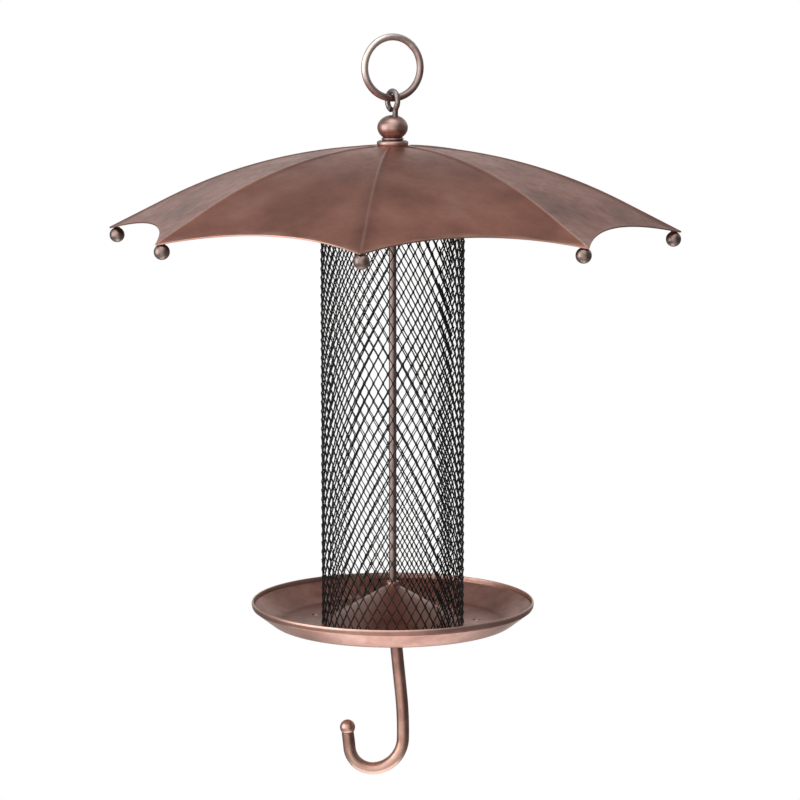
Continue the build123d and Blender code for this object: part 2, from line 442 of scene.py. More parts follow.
class Paint(Wiring):
    """A material in the making."""

    def __init__(self, name: str, metallic: float) -> None:
        """Start the material.

        Args:
            name: The material's name.
            metallic: 1 for bare metal, 0 for a coat over it.
        """
        self.made = bpy.data.materials.new(name)
        self.made.use_nodes = True
        super().__init__(self.made.node_tree)
        self.shader = self.tree.nodes["Principled BSDF"]
        self.shader.inputs["Metallic"].default_value = metallic
        self.place = add_node(self.tree, "ShaderNodeTexCoord").outputs["Object"]

    def noise(self, size_mm: float, place: Socket | None = None, **values: float) -> Socket:
        """Cloudy noise.

        Args:
            size_mm: Rough size of one cloud.
            place: Coordinates, where they aren't the piece's own.
            **values: The noise's other inputs.

        Returns:
            The noise's height.
        """
        where = self.place if place is None else place
        values["Scale"] = 1 / (size_mm * MM)
        return add_node(self.tree, "ShaderNodeTexNoise", values, {"Vector": where}).outputs["Fac"]

    def marked(self, name: str) -> Socket:
        """A number that was marked on the piece's points."""
        return add_node(self.tree, "ShaderNodeAttribute", attribute_name=name).outputs["Fac"]

    def gloss(self, level: Socket, smooth: float, rough: float, low: float = 0.0, high: float = 1.0) -> None:
        """Let a pattern set how rough the surface is.

        Args:
            level: The pattern.
            smooth: Roughness at the pattern's low end.
            rough: Roughness at its high end.
            low: The pattern's low end.
            high: The pattern's high end.
        """
        spread = {"From Min": low, "From Max": high, "To Min": smooth, "To Max": rough}
        node = add_node(self.tree, "ShaderNodeMapRange", spread, {"Value": level})
        self.tree.links.new(node.outputs["Result"], self.shader.inputs["Roughness"])

    def bump(self, height: Socket, strength: float, depth_mm: float, under: Socket | None = None) -> Socket:
        """Relief from a pattern.

        Args:
            height: The pattern.
            strength: How strongly it shows, from 0 to 1.
            depth_mm: How deep it is.
            under: Other relief that it lies on.

        Returns:
            The bent normal.
        """
        links = {"Height": height} | ({} if under is None else {"Normal": under})
        values = {"Strength": strength, "Distance": depth_mm * MM}
        return add_node(self.tree, "ShaderNodeBump", values, links).outputs["Normal"]

    def finished(self, colour: Socket, relief: Socket | None = None) -> bpy.types.Material:
        """Join the colour and the relief to the shader.

        Args:
            colour: The surface's colour.
            relief: Its normal, where it has any relief.

        Returns:
            The finished material.
        """
        self.tree.links.new(colour, self.shader.inputs["Base Color"])
        if relief is not None:
            self.tree.links.new(relief, self.shader.inputs["Normal"])
        return self.made


class Grain(Enum):
    """Which way a metal's fine rubbing marks run."""

    ROUND = "round the axis"
    ALONG = "straight down"
    CLOUDY = "no way in particular"


@dataclass(frozen=True)
class AntiqueCopper:
    """Copper plate on steel, browned in a chemical bath, then rubbed back and lacquered.

    The bath leaves soft brown clouds. Rubbing brightens edges and raised places to pink copper.
    The lacquer gives an even satin gloss, with hairline rubbing marks under it.
    """

    name: str
    mid: str
    dark: str
    light: str
    # pale copper of worn places, also used for the painted highlight on the ring
    rubbed: str
    # colour of the painted shade in corners and on the ring's unlit side
    grime: str = "2B1E1B"
    roughness: float = 0.36
    cloud_mm: float = 34.0
    stain_mm: float = 6.0
    stain_share: float = 0.42
    grain: Grain = Grain.CLOUDY
    grain_mm: float = 0.5
    grain_drawn: float = 0.04
    wave_mm: float = 26.0
    wobble: float = 0.10
    hairline: float = 0.28
    coat: float = 0.0
    coat_roughness: float = 0.22

    def material(self) -> bpy.types.Material:
        """Build the node material.

        Returns:
            The finished material.
        """
        paint = Paint(self.name, metallic=1.0)
        dark, mid, light = linear(self.dark), linear(self.mid), linear(self.light)
        tones = paint.ramp(
            paint.noise(self.cloud_mm, Detail=5.0, Roughness=0.55), (0.30, dark), (0.50, mid), (0.72, light),
        )
        # stains a few millimetres across, where the bath took unevenly
        stains = paint.noise(self.stain_mm, Detail=6.0, Roughness=0.62, Distortion=0.6)
        stain_mask = paint.ramp(stains, (0.46, grey(0)), (0.72, grey(self.stain_share)))
        stained = paint.lay(dark, tones, stain_mask)
        marks = self.rubbing_marks(paint)
        hairlines = paint.ramp(marks, (0.50, grey(0)), (0.78, grey(self.hairline)))
        brushed = paint.lay(light, stained, hairlines)
        # pale copper where the finish is worn, and on the ring also a painted highlight on its lit side
        worn_and_highlit = paint.lay(linear(self.rubbed), brushed, paint.marked("rubbed"))
        # painted shade: darker in the corners where two pieces or faces meet, and on the ring's side away
        # from the light
        with_painted_shade = paint.lay(linear(self.grime), worn_and_highlit, paint.marked("grime"))
        paint.shader.inputs["Coat Weight"].default_value = self.coat
        paint.shader.inputs["Coat Roughness"].default_value = self.coat_roughness
        paint.gloss(stains, self.roughness - 0.05, self.roughness + 0.07, low=0.3, high=0.7)
        # the sheet is never quite true: slow waves bend its reflections, and hairlines break them up
        slow = paint.bump(paint.noise(self.wave_mm, Detail=1.5), self.wobble, 4)
        return paint.finished(with_painted_shade, paint.bump(marks, self.hairline / 3, 0.1, under=slow))

    def rubbing_marks(self, paint: Paint) -> Socket:
        """Fine noise drawn out along the way that the metal was rubbed.

        Args:
            paint: The material in the making.

        Returns:
            A socket with the marks' height.
        """
        tree, source = paint.tree, paint.place
        if self.grain is Grain.ROUND:
            split = add_node(tree, "ShaderNodeSeparateXYZ", links={0: source}).outputs
            flat = add_node(tree, "ShaderNodeCombineXYZ", links={"X": split["X"], "Y": split["Y"]})
            radius = add_node(tree, "ShaderNodeVectorMath", links={0: flat.outputs[0]}, operation="LENGTH")
            links = {"X": radius.outputs["Value"], "Z": split["Z"]}
            source = add_node(tree, "ShaderNodeCombineXYZ", links=links).outputs[0]
        stretch = (1, 1, self.grain_drawn if self.grain is Grain.ALONG else 1)
        drawn = add_node(tree, "ShaderNodeMapping", {"Scale": stretch}, {"Vector": source})
        return paint.noise(self.grain_mm, drawn.outputs["Vector"], Detail=3.0)


@dataclass(frozen=True)
class PowderCoat:
    """Black polyester powder baked on steel: satin and a little pebbled. It runs thin on sharp edges; here
    its thinner tone lies in scattered patches.
    """

    name: str
    colour: str = "070707"
    thin: str = "120F0E"
    roughness: float = 0.55
    gloss_index: float = 1.45
    patch_mm: float = 5.0
    pebble_mm: float = 0.25
    pebble_deep_mm: float = 0.05

    def material(self) -> bpy.types.Material:
        """Build the node material.

        Returns:
            The finished material.
        """
        paint = Paint(self.name, metallic=0.0)
        paint.shader.inputs["IOR"].default_value = self.gloss_index
        patches = paint.noise(self.patch_mm, Detail=4.0)
        tone = paint.ramp(patches, (0.45, linear(self.colour)), (0.75, linear(self.thin)))
        paint.gloss(patches, self.roughness - 0.08, self.roughness + 0.10)
        pebbles = paint.noise(self.pebble_mm, Detail=2.0)
        return paint.finished(tone, paint.bump(pebbles, 0.25, self.pebble_deep_mm))


@dataclass(frozen=True)
class ZincPlate:
    """Bright zinc on a steel washer: pale grey, with a faint crystal mottle."""

    name: str
    pale: str = "B9B8B2"
    dull: str = "8E8C86"
    crystal_mm: float = 1.5
    smooth: float = 0.28
    rough: float = 0.45

    def material(self) -> bpy.types.Material:
        """Build the node material.

        Returns:
            The finished material.
        """
        paint = Paint(self.name, metallic=1.0)
        scale = {"Scale": 1 / (self.crystal_mm * MM)}
        node = add_node(paint.tree, "ShaderNodeTexVoronoi", scale, {"Vector": paint.place})
        crystals = node.outputs["Distance"]
        paint.gloss(crystals, self.smooth, self.rough)
        return paint.finished(paint.ramp(crystals, (0.1, linear(self.pale)), (0.9, linear(self.dull))))


class Finish(Enum):
    """Every finish on the feeder."""

    ROOF = AntiqueCopper(
        "antique_copper_roof", mid="AD7768", dark="8A6154", light="BC8C7D", rubbed="C29B8C", hairline=0.10,
    )
    TRAY = AntiqueCopper(
        "antique_copper_tray", mid="AF8478", dark="8C665A", light="C29A8D", rubbed="DDBBAD",
        grain=Grain.ROUND,
    )
    FINIAL = AntiqueCopper(
        "antique_copper_finial", mid="AD8A82", dark="7E5E58", light="C2A29A", rubbed="D2B7AE",
        roughness=0.37, cloud_mm=9.0, grain=Grain.ROUND, wobble=0.03, coat=0.3,
    )
    WIRE = AntiqueCopper(
        "antique_copper_wire", mid="CBB2A9", dark="99787A", light="DAC6BD", rubbed="EBDDD5",
        roughness=0.40, cloud_mm=12.0, grain_mm=0.3, wobble=0.03, hairline=0.08, coat=0.3,
    )
    BAR = AntiqueCopper(
        "antique_copper_bar", mid="B08576", dark="87645B", light="C8A293", rubbed="DEBDAC",
        roughness=0.34, cloud_mm=14.0, grain=Grain.ALONG, wobble=0.05, coat=0.2,
    )
    ROD = AntiqueCopper(
        "antique_copper_rod", mid="9E8A82", dark="7A6962", light="B39C93", rubbed="C4ABA1",
        roughness=0.40, cloud_mm=30.0, grain=Grain.ALONG, wobble=0.03,
    )
    TIP = AntiqueCopper(
        "antique_copper_tip", mid="8F7B74", dark="665450", light="A8938B", rubbed="C9B2A8",
        roughness=0.34, cloud_mm=5.0, wobble=0.03,
    )
    EYE = AntiqueCopper(
        "dark_bronze_wire", mid="8F8380", dark="5E5452", light="A79B97", rubbed="BFB2AD",
        roughness=0.34, cloud_mm=4.0, wobble=0.03,
    )
    BLACK = PowderCoat("black_powder_coat")
    ZINC = ZincPlate("zinc_plate")


class Dresser:
    """Gives finished pieces their material, and hands them to the frame."""

    def __init__(self) -> None:
        """Look up each node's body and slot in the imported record."""
        record = frame["record"]
        self.body = {node: body for body, nodes in record["behaviour"]["bodies"].items() for node in nodes}
        self.slot = {part["node"]: part["material_slot"] for part in record["subparts"]}
        self.made: dict[Finish, bpy.types.Material] = {}

    def material(self, finish: Finish) -> bpy.types.Material:
        """The one material of a finish, made when it is first asked for.

        Args:
            finish: Which finish.

        Returns:
            Its material.
        """
        if finish not in self.made:
            self.made[finish] = finish.value.material()
        return self.made[finish]

    def hand_over(self, piece: Piece, node: str, finish: Finish) -> None:
        """Dress a piece and let it stand for one CAD node.

        Args:
            piece: The finished piece.
            node: The CAD node that it replaces.
            finish: What its surface is.
        """
        piece.data.materials.clear()
        piece.data.materials.append(self.material(finish))
        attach(piece, self.body[node])
        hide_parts(node)
        piece.data.calc_loop_triangles()
        log.info("%s rides on %s, %d triangles", piece.name, self.body[node], len(piece.data.loop_triangles))


Recipe = tuple[Callable[[], Piece], str, Finish]


class Assembly:
    """A sub-assembly of pieces that each stand for one CAD node."""

    def pieces(self) -> list[Recipe]:
        """How each piece is made, the CAD node that it replaces, and its finish."""
        raise NotImplementedError

    def build(self, dresser: Dresser) -> None:
        """Model every piece in turn and hand it over.

        Args:
            dresser: Takes the finished pieces.
        """
        for make, node, finish in self.pieces():
            dresser.hand_over(make(), node, finish)


# ---------------------------------------------------------------- ring and eye


@dataclass
class Hanger(Assembly):
    """The closed hanging ring and the bent wire eye that it passes through."""

    ring_wire_mm: float = 1.85
    ring_turn: float = 24.0
    braze_at: float = 47.0
    braze_half: float = 4.5
    braze_swell: float = 1.03
    # the side the light falls on: the ring is painted lighter towards it and painted darker away from it
    worn_side: Corner = (-0.55, 0, 0.83)
    shade: float = 0.45
    eye_wire_mm: float = 1.45
    eye_loop_mm: float = 4.9
    eye_turn: float = -58.0
    eye_limb_mm: float = 2.6
    eye_bend_mm: float = 3.0
    eye_end: float = 15.0
    eye_cut_mm: float = 0.25

    def ring(self) -> Piece:
        """Model the ring: a wire section spun round, with a swelling where its ends are brazed.

        Returns:
            The ring.
        """
        span = Span.of("hanging_ring")
        loop = span.height / 2 - self.ring_wire_mm * MM
        piece = add(
            "ring_wire", bpy.ops.mesh.primitive_circle_add, vertices=24, radius=self.ring_wire_mm * MM,
            location=(loop, 0, 0),
        )
        with editing(piece):
            bpy.ops.mesh.select_all(action="SELECT")
            bpy.ops.mesh.spin(steps=144, angle=FULL_TURN, center=(0, 0, 0), axis=(0, 1, 0))
        tidy(piece, sharp_from=60)
        seam = math.radians(self.braze_at)
        middle = Vector((math.cos(seam), 0, math.sin(seam))) * loop
        with editing(piece):
            for reach in (self.braze_half, self.braze_half / 2):
                pick(piece, Kind.VERTS, lambda vertex: self.near_seam(vertex.co, reach))
                bpy.ops.transform.resize(value=(self.braze_swell,) * 3, center_override=middle)
        # painted light: the wire is paler towards the lit side, a painted highlight, and darker away from
        # it, painted shade; the brazed seam is paled as real wear
        towards_light = Vector(self.worn_side)
        braze = self.braze_half * 1.2
        mark(
            piece, "rubbed",
            lambda co: 0.75 if self.near_seam(co, braze) else 0.2 + 0.8 * co.dot(towards_light) / loop,
        )
        mark(piece, "grime", lambda co: -self.shade * co.dot(towards_light) / loop)
        turn_about_z(piece, self.ring_turn)
        activate(piece)
        piece.location = span.centre
        bpy.ops.object.transform_apply(location=True, rotation=False, scale=False)
        return piece

    def near_seam(self, co: Vector, reach: float) -> bool:
        """Whether a point of the unturned ring lies within reach degrees of the brazed seam."""
        return abs(math.degrees(math.atan2(co.z, co.x)) - self.braze_at) < reach

    def eye(self) -> Piece:
        """Model the eye: a limb out of the ball, a bend, and a loop that stops at a cut end.

        Returns:
            The eye.
        """
        span = Span.of("wire_eye")
        loop = self.eye_loop_mm
        loop_z = span.high.z / MM - loop - self.eye_wire_mm
        join = math.asin((self.eye_limb_mm + self.eye_bend_mm) / (loop + self.eye_bend_mm))
        limb_top = loop_z - (loop + self.eye_bend_mm) * math.cos(join)
        piece = add(
            "eye_wire", bpy.ops.mesh.primitive_circle_add, vertices=20, radius=self.eye_wire_mm * MM,
            location=(self.eye_limb_mm * MM, 0, span.low.z),
        )
        with editing(piece):
            bpy.ops.mesh.select_all(action="SELECT")
            rise = limb_top * MM - span.low.z
            for _ in range(4):
                bpy.ops.mesh.extrude_edges_move(TRANSFORM_OT_translate={"value": (0, 0, rise / 4)})
            bend_centre = ((self.eye_limb_mm + self.eye_bend_mm) * MM, 0, limb_top * MM)
            bpy.ops.mesh.spin(steps=8, angle=join - math.pi / 2, center=bend_centre, axis=(0, 1, 0))
            around = FULL_TURN - join - math.radians(self.eye_end)
            bpy.ops.mesh.spin(steps=60, angle=around, center=(0, 0, loop_z * MM), axis=(0, 1, 0))
        tidy(piece)
        ease_ends(piece, self.eye_cut_mm, segments=3)
        mark(piece, "rubbed", lambda co: (co.z / MM - loop_z) / loop * 0.5)
        turn_about_z(piece, self.eye_turn)
        return piece

    def pieces(self) -> list[Recipe]:
        """What the hanger is made of."""
        return [
            (self.ring, "hanging_ring", Finish.WIRE),
            (self.eye, "wire_eye", Finish.EYE),
        ]


# ---------------------------------------------------------------- finial


@dataclass
class Finial(Assembly):
    """The flattened ball and the turned collar under it."""

    bore_mm: float = 2.05
    neck_mm: float = 5.8
    bead_mm: float = 5.9
    flange_mm: float = 3.2
    ball_mm: float = 8.0
    ball_tall_mm: float = 6.5
    ball_steps: int = 36

    def ball(self) -> Piece:
        """Turn the ball from the upper part of an ellipse.

        Returns:
            The ball.
        """
        span = Span.of("finial_ball")
        low = span.low.z / MM
        centre = span.high.z / MM - self.ball_tall_mm
        outline: list[Point] = []
        start = math.asin((low - centre) / self.ball_tall_mm)
        for step in range(self.ball_steps + 1):
            angle = start + (math.pi / 2 - start) * step / self.ball_steps
            outline.append((self.ball_mm * math.cos(angle), centre + self.ball_tall_mm * math.sin(angle)))
        outline.append((0.0, low))
        piece = lathe("finial_ball_turned", outline, steps=72, rubbed=0.15)
        # painted shade at the foot of the ball, where it sits down on the collar
        mark(piece, "grime", lambda co: 0.6 * (1 - (co.z - span.low.z) / (1.2 * MM)))
        return piece

    def collar(self) -> Piece:
        """Turn the collar: a beaded neck over a rounded flange.

        Returns:
            The collar.
        """
        span = Span.of("finial_collar")
        wide, low, high = span.sizes_mm
        flange_top = low + self.flange_mm
        outline = rounded(
            [
                (self.bore_mm, low, 0),
                (wide - 0.5, low, 0.3),
                (wide, low + 1.2, 1.2),
                (wide, flange_top - 0.6, 1.0),
                (wide - 1.4, flange_top, 0.8),
                (self.neck_mm - 0.9, flange_top, 0.3),
                (self.neck_mm, flange_top + 0.35, 0.5),
                (self.neck_mm, high - 0.5, 0.7),
                (self.neck_mm - 0.8, high, 0.3),
                (self.bore_mm, high, 0),
            ]
        )
        piece = lathe("finial_collar_turned", outline, steps=72)
        mark(piece, "rubbed", lambda co: 0.35 if math.hypot(co.x, co.y) > span.radius * 0.97 else 0.1)
        # painted shade in the corner where the neck meets the flange
        joint = (flange_top + 0.2) * MM
        mark(piece, "grime", lambda co: 0.7 * (1 - abs(co.z - joint) / (0.4 * MM)))
        return piece

    def pieces(self) -> list[Recipe]:
        """What the finial is made of."""
        return [
            (self.ball, "finial_ball", Finish.FINIAL),
            (self.collar, "finial_collar", Finish.FINIAL),
        ]


# ---------------------------------------------------------------- roof


@dataclass
class Roof(Assembly):
    """The pressed umbrella roof, with a bead along every rib, and the balls under its tips."""

    ribs: int = 8
    rib_turn: float = -5.8
    tip_mm: float = 150.0
    arc_mm: float = 266.0
    arc_end_mm: float = 120.0
    gap_mm: float = 0.2
    sheet_mm: float = 0.6
    scallop_mm: float = 11.0
    hole_mm: float = 2.05
    spare_mm: float = 3.0
    edge_round_mm: float = 0.18
    rings: int = 40
    across: int = 12
    bead_mm: float = 0.9
    bead_rise_mm: float = 0.45
    bead_from_mm: float = 9.0
    bead_worn_from_mm: float = 12.0
    stub_mm: float = 0.35

    @property
    def top(self) -> float:
        """Height of the top of the roof, in metres."""
        return Span.of("finial_collar").low.z - self.gap_mm * MM

    def drop(self, radius_mm: float) -> float:
        """How far a rib has fallen at a radius: an arc, then a straight end.

        Args:
            radius_mm: Distance from the feeder's axis.

        Returns:
            The fall, in millimetres.
        """
        on_arc = min(radius_mm, self.arc_end_mm)
        level = math.sqrt(self.arc_mm**2 - on_arc**2)
        return self.arc_mm - level + (radius_mm - on_arc) * on_arc / level

    def rib_angle(self, number: float) -> float:
        """Direction of a rib, counted from the front, in radians from the X axis."""
        return math.radians(self.rib_turn - 90 + number * 360 / self.ribs)

    def off_rib(self, co: Vector) -> float:
        """Distance of a point from the nearest rib, measured across the gore.

        Args:
            co: The point, in metres.

        Returns:
            The distance, in millimetres.
        """
        gore = FULL_TURN / self.ribs
        turn = (math.atan2(co.y, co.x) - self.rib_angle(0) + gore / 2) % gore - gore / 2
        return abs(math.hypot(co.x, co.y) * math.sin(turn)) / MM

    def scallop(self) -> tuple[float, float]:
        """The round cut between two tips.

        Returns:
            Its radius, and how far from the axis its centre lies, in millimetres.
        """
        half_chord = self.tip_mm * math.sin(math.pi / self.ribs)
        radius = (half_chord**2 + self.scallop_mm**2) / (2 * self.scallop_mm)
        return radius, self.tip_mm * math.cos(math.pi / self.ribs) - self.scallop_mm + radius

    def off_edge(self, co: Vector) -> float:
        """Distance of a point inwards from the scalloped edge, seen from above.

        Args:
            co: The point, in metres.

        Returns:
            The distance, in millimetres.
        """
        radius, reach = self.scallop()
        nearest = math.inf
        for gore in range(self.ribs):
            angle = self.rib_angle(gore + 0.5)
            centre = Vector((math.cos(angle), math.sin(angle))) * reach
            nearest = min(nearest, (Vector((co.x, co.y)) / MM - centre).length - radius)
        return nearest

    def sheet(self) -> Piece:
        """Model the sheet: an octagon drawn out ring by ring, beaded, thickened and scalloped.

        Returns:
            The roof.
        """
        reach = self.tip_mm + self.spare_mm - self.hole_mm
        radii = [self.hole_mm + reach * ring / self.rings for ring in range(self.rings + 1)]
        piece = add(
            "roof_sheet", bpy.ops.mesh.primitive_circle_add, vertices=self.ribs, radius=radii[0] * MM,
            location=(0, 0, self.top - self.drop(radii[0]) * MM),
            rotation=(0, 0, math.radians(self.rib_turn)),
        )
        with editing(piece):
            bpy.ops.mesh.select_all(action="SELECT")
            for near, far in zip(radii, radii[1:]):
                fall = (self.drop(near) - self.drop(far)) * MM
                bpy.ops.mesh.extrude_edges_move(TRANSFORM_OT_translate={"value": (0, 0, fall)})
                bpy.ops.transform.resize(value=(far / near, far / near, 1), center_override=(0, 0, 0))
            pick(piece, Kind.EDGES, self.is_across)
            bpy.ops.mesh.subdivide(number_cuts=self.across - 1)
            pick(piece, Kind.EDGES, self.is_beaded)
            bpy.ops.mesh.bevel(offset=self.bead_mm * MM, segments=2, profile=0.5, affect="EDGES")
            pick(piece, Kind.VERTS, lambda vertex: self.is_crest(vertex.co))
            bpy.ops.transform.translate(value=(0, 0, self.bead_rise_mm * MM))
            bpy.ops.mesh.select_all(action="SELECT")
            bpy.ops.mesh.normals_make_consistent(inside=False)
        apply_modifier(piece, "SOLIDIFY", thickness=self.sheet_mm * MM, offset=-1.0)
        self.cut_scallops(piece)
        apply_modifier(
            piece, "BEVEL", width=self.edge_round_mm * MM, segments=2, limit_method="ANGLE",
            angle_limit=math.radians(60),
        )
        shade(piece, 40)
        mark(piece, "rubbed", self.rubbed_at)
        # painted shade in the corners beside the beads
        mark(piece, "grime", self.grime_at)
        return piece

    def is_across(self, edge: bmesh.types.BMEdge) -> bool:
        """Whether an edge crosses a gore, rather than running along a rib."""
        return self.off_rib((edge.verts[0].co + edge.verts[1].co) / 2) > 0.2

    def is_beaded(self, edge: bmesh.types.BMEdge) -> bool:
        """Whether an edge runs along a rib, outside the part that the collar hides."""
        return all(
            self.off_rib(v.co) < 0.01 and math.hypot(v.co.x, v.co.y) > self.bead_from_mm * MM * 0.8
            for v in edge.verts
        )

    def is_crest(self, co: Vector) -> bool:
        """Whether a point lies on the middle line of a rib's bead."""
        return self.off_rib(co) < 0.01 and math.hypot(co.x, co.y) > self.bead_from_mm * MM * 1.2

    def cut_scallops(self, piece: Piece) -> None:
        """Cut the edge back between every two tips with a round cutter.

        Args:
            piece: The thickened sheet.
        """
        radius, reach = self.scallop()
        for gore in range(self.ribs):
            angle = self.rib_angle(gore + 0.5)
            middle = towards(angle) * reach * MM + Vector((0, 0, self.top))
            punch(piece, middle, radius, depth_mm=120, sides=360)

    def is_clear(self, co: Vector) -> bool:
        """Whether a point lies clear of the collar, where hands and weather reach the beads."""
        return math.hypot(co.x, co.y) > self.bead_worn_from_mm * MM

    def rubbed_at(self, co: Vector) -> float:
        """How far the brown is rubbed off: along the beads and the cut edge.

        Args:
            co: The point, in metres.

        Returns:
            A number from 0 to 1.
        """
        bead = max(0.0, 1 - self.off_rib(co) / self.bead_mm) if self.is_clear(co) else 0.0
        edge = max(0.0, 1 - self.off_edge(co) / 0.5)
        return max(0.5 * bead, 0.6 * edge)

    def grime_at(self, co: Vector) -> float:
        """How strongly shade is painted into the corner beside a bead, at a point."""
        beside = 1 - abs(self.off_rib(co) - self.bead_mm) / (0.6 * self.bead_mm)
        return 0.3 * max(0.0, beside) if self.is_clear(co) else 0.0

    def tip_ball(self) -> Piece:
        """Model the front ball: a sphere whose top is drawn up into a short brazed stub.

        Returns:
            The front ball.
        """
        span = Span.of("rib_tip_ball_1")
        piece = add(
            "tip_ball_front", bpy.ops.mesh.primitive_uv_sphere_add, segments=32, ring_count=20,
            radius=span.height / 2, location=span.centre,
        )
        with editing(piece):
            cap = span.high.z - self.stub_mm * MM
            pick(piece, Kind.FACES, lambda face: face.calc_center_median().z > cap)
            bpy.ops.mesh.extrude_region_move(TRANSFORM_OT_translate={"value": (0, 0, self.stub_mm * MM)})
            bpy.ops.transform.resize(value=(0.8, 0.8, 0.3))
        tidy(piece, sharp_from=50)
        mark(piece, "rubbed", lambda co: 0.6 if co.z > cap - 0.2 * MM else 0.1)
        return piece

    def pieces(self) -> list[Recipe]:
        """What the roof is made of, apart from the tip balls."""
        return [(self.sheet, "roof_canopy", Finish.ROOF)]

    def build(self, dresser: Dresser) -> None:
        """Hand over the sheet, then the tip balls: turned copies, and last the front one.

        Args:
            dresser: Takes the finished pieces.
        """
        super().build(dresser)
        first = self.tip_ball()
        for number in range(2, self.ribs + 1):
            ball = copy_of(first, f"tip_ball_{number}")
            turn_about_z(ball, (number - 1) * 360 / self.ribs)
            dresser.hand_over(ball, f"rib_tip_ball_{number}", Finish.TIP)
        dresser.hand_over(first, "rib_tip_ball_1", Finish.TIP)


# ---------------------------------------------------------------- mesh tube


@dataclass
class MeshTube(Assembly):
    """Raised expanded metal rolled into a tube: slit and stretched sheet, lapped at one seam."""

    around: int = 46
    rise_mm: float = 9.4
    knot_wide_mm: float = 1.1
    twist: float = 2.0
    first_turn: float = -0.78
    knot_tall_mm: float = 1.3
    strand_swell: float = 1.15
    strand_lean_mm: float = 0.28
    sheet_mm: float = 0.5
    wall_mm: float = 0.55
    knot_tilt: float = 24.0
    seam_turn: float = 41.5
    lap_lift_mm: float = 0.35
    band_sheet_mm: float = 0.55
    band_fold_mm: float = 0.25

    def strand_pair(self, radius: float, low: float) -> Piece:
        """Model one knot and the two strands that rise from it.

        Args:
            radius: Distance of the knot from the tube's axis.
            low: Height of the knot's middle.

        Returns:
            The knot with its strands, at the front of the tube.
        """
        half_pitch = radius * FULL_TURN / self.around / 2
        rise = self.rise_mm / 2 * MM
        piece = add(
            "mesh_knot", bpy.ops.mesh.primitive_cube_add, size=1.0, location=(0, -radius, low),
            scale=(self.knot_wide_mm * MM, self.sheet_mm * MM, self.knot_tall_mm * MM),
        )
        with editing(piece):
            bpy.ops.mesh.select_all(action="SELECT")
            bpy.ops.mesh.bisect(plane_co=(0, -radius, low), plane_no=(1, 0, 0))
            bpy.ops.mesh.select_all(action="SELECT")
            tilt = math.radians(self.knot_tilt)
            bpy.ops.transform.rotate(
                value=tilt, orient_axis="X", orient_type="GLOBAL", center_override=(0, -radius, low),
            )
            for side in (-1, 1):
                pick(
                    piece, Kind.FACES,
                    lambda face: face.normal.z > 0.8 and face.calc_center_median().x * side > 0
                    and face.calc_center_median().z < low + self.knot_tall_mm * MM,
                )
                self.draw_strand(side, half_pitch, rise)
        return piece

    def draw_strand(self, side: int, half_pitch: float, rise: float) -> None:
        """Draw the selected face out into one strand, twisted as the slit sheet is.

        Args:
            side: -1 for the strand that rises to the left, 1 for the right.
            half_pitch: How far round the strand goes.
            rise: How far up it goes.
        """
        inset = self.knot_wide_mm * MM / 4
        run = half_pitch - 2 * inset
        climb = rise - self.knot_tall_mm * MM
        for step, (share, out) in enumerate(((0.5, 0.0), (0.5, -self.strand_lean_mm))):
            move = (side * run * share, out * MM, climb * share)
            bpy.ops.mesh.extrude_region_move(TRANSFORM_OT_translate={"value": move})
            if step == 0:
                bpy.ops.transform.resize(value=(1.0, self.strand_swell, 1.0))

    def repeat(self, piece: Piece, *moves: tuple[int, float, float]) -> None:
        """Repeat a knot up and round the tube.

        Args:
            piece: One knot with its strands.
            *moves: How many copies, then how many half pitches each is turned and lifted.
        """
        for count, turned, lifted in moves:
            turn = turned * FULL_TURN / self.around / 2
            bpy.ops.object.empty_add(location=(0, 0, lifted * self.rise_mm / 2 * MM), rotation=(0, 0, turn))
            guide = bpy.context.object
            bpy.context.view_layer.update()
            apply_modifier(
                piece, "ARRAY", fit_type="FIXED_COUNT", count=count, use_relative_offset=False,
                use_object_offset=True, offset_object=guide,
            )
            bpy.data.objects.remove(guide)

    def mesh(self) -> Piece:
        """Model the whole tube of mesh, with its lapped seam.

        Returns:
            The tube.
        """
        span = Span.of("mesh_tube")
        radius = span.radius - self.wall_mm * MM
        low = span.low.z + self.knot_tall_mm / 2 * MM
        rows = int((span.height - self.knot_tall_mm * MM) / (self.rise_mm / 2 * MM))
        tube = self.strand_pair(radius, low)
        tube.name = "expanded_metal_tube"
        lean = self.twist / 360 * self.around / (rows / 2)
        self.repeat(tube, (rows, 1 + lean, 1), (self.around, 2, 0))
        lap = self.strand_pair(radius + self.lap_lift_mm * MM, low)
        lap.name = "lap_seam"
        self.repeat(lap, (2, 1 + lean, 1), (rows // 2, 2 * lean, 2), (2, 2, 0))
        turn_about_z(lap, self.seam_turn)
        activate(tube)
        lap.select_set(True)
        bpy.ops.object.join()
        turn_about_z(tube, self.first_turn)
        mark(tube, "rubbed", lambda co: 0.0)
        return tube

    def band(self) -> Piece:
        """Turn the folded band that binds the mesh's top edge.

        Returns:
            The band.
        """
        outer, low, high = Span.of("tube_top_band").sizes_mm
        inner = outer - 2 * self.band_sheet_mm - self.band_fold_mm
        outline = rounded(
            [
                (inner, low, 0.2),
                (inner + self.band_sheet_mm, low, 0.2),
                (inner + self.band_sheet_mm, high - self.band_sheet_mm, 0.1),
                (outer - self.band_sheet_mm, high - self.band_sheet_mm, 0.1),
                (outer - self.band_sheet_mm, low, 0.2),
                (outer, low, 0.2),
                (outer, high, 0.5),
                (inner, high, 0.5),
            ],
            steps=3,
        )
        return lathe("top_band_folded", outline, steps=128, rubbed=0.0)

    def pieces(self) -> list[Recipe]:
        """What the tube is made of."""
        return [
            (self.mesh, "mesh_tube", Finish.BLACK),
            (self.band, "tube_top_band", Finish.BLACK),
        ]


# ---------------------------------------------------------------- rod and cone


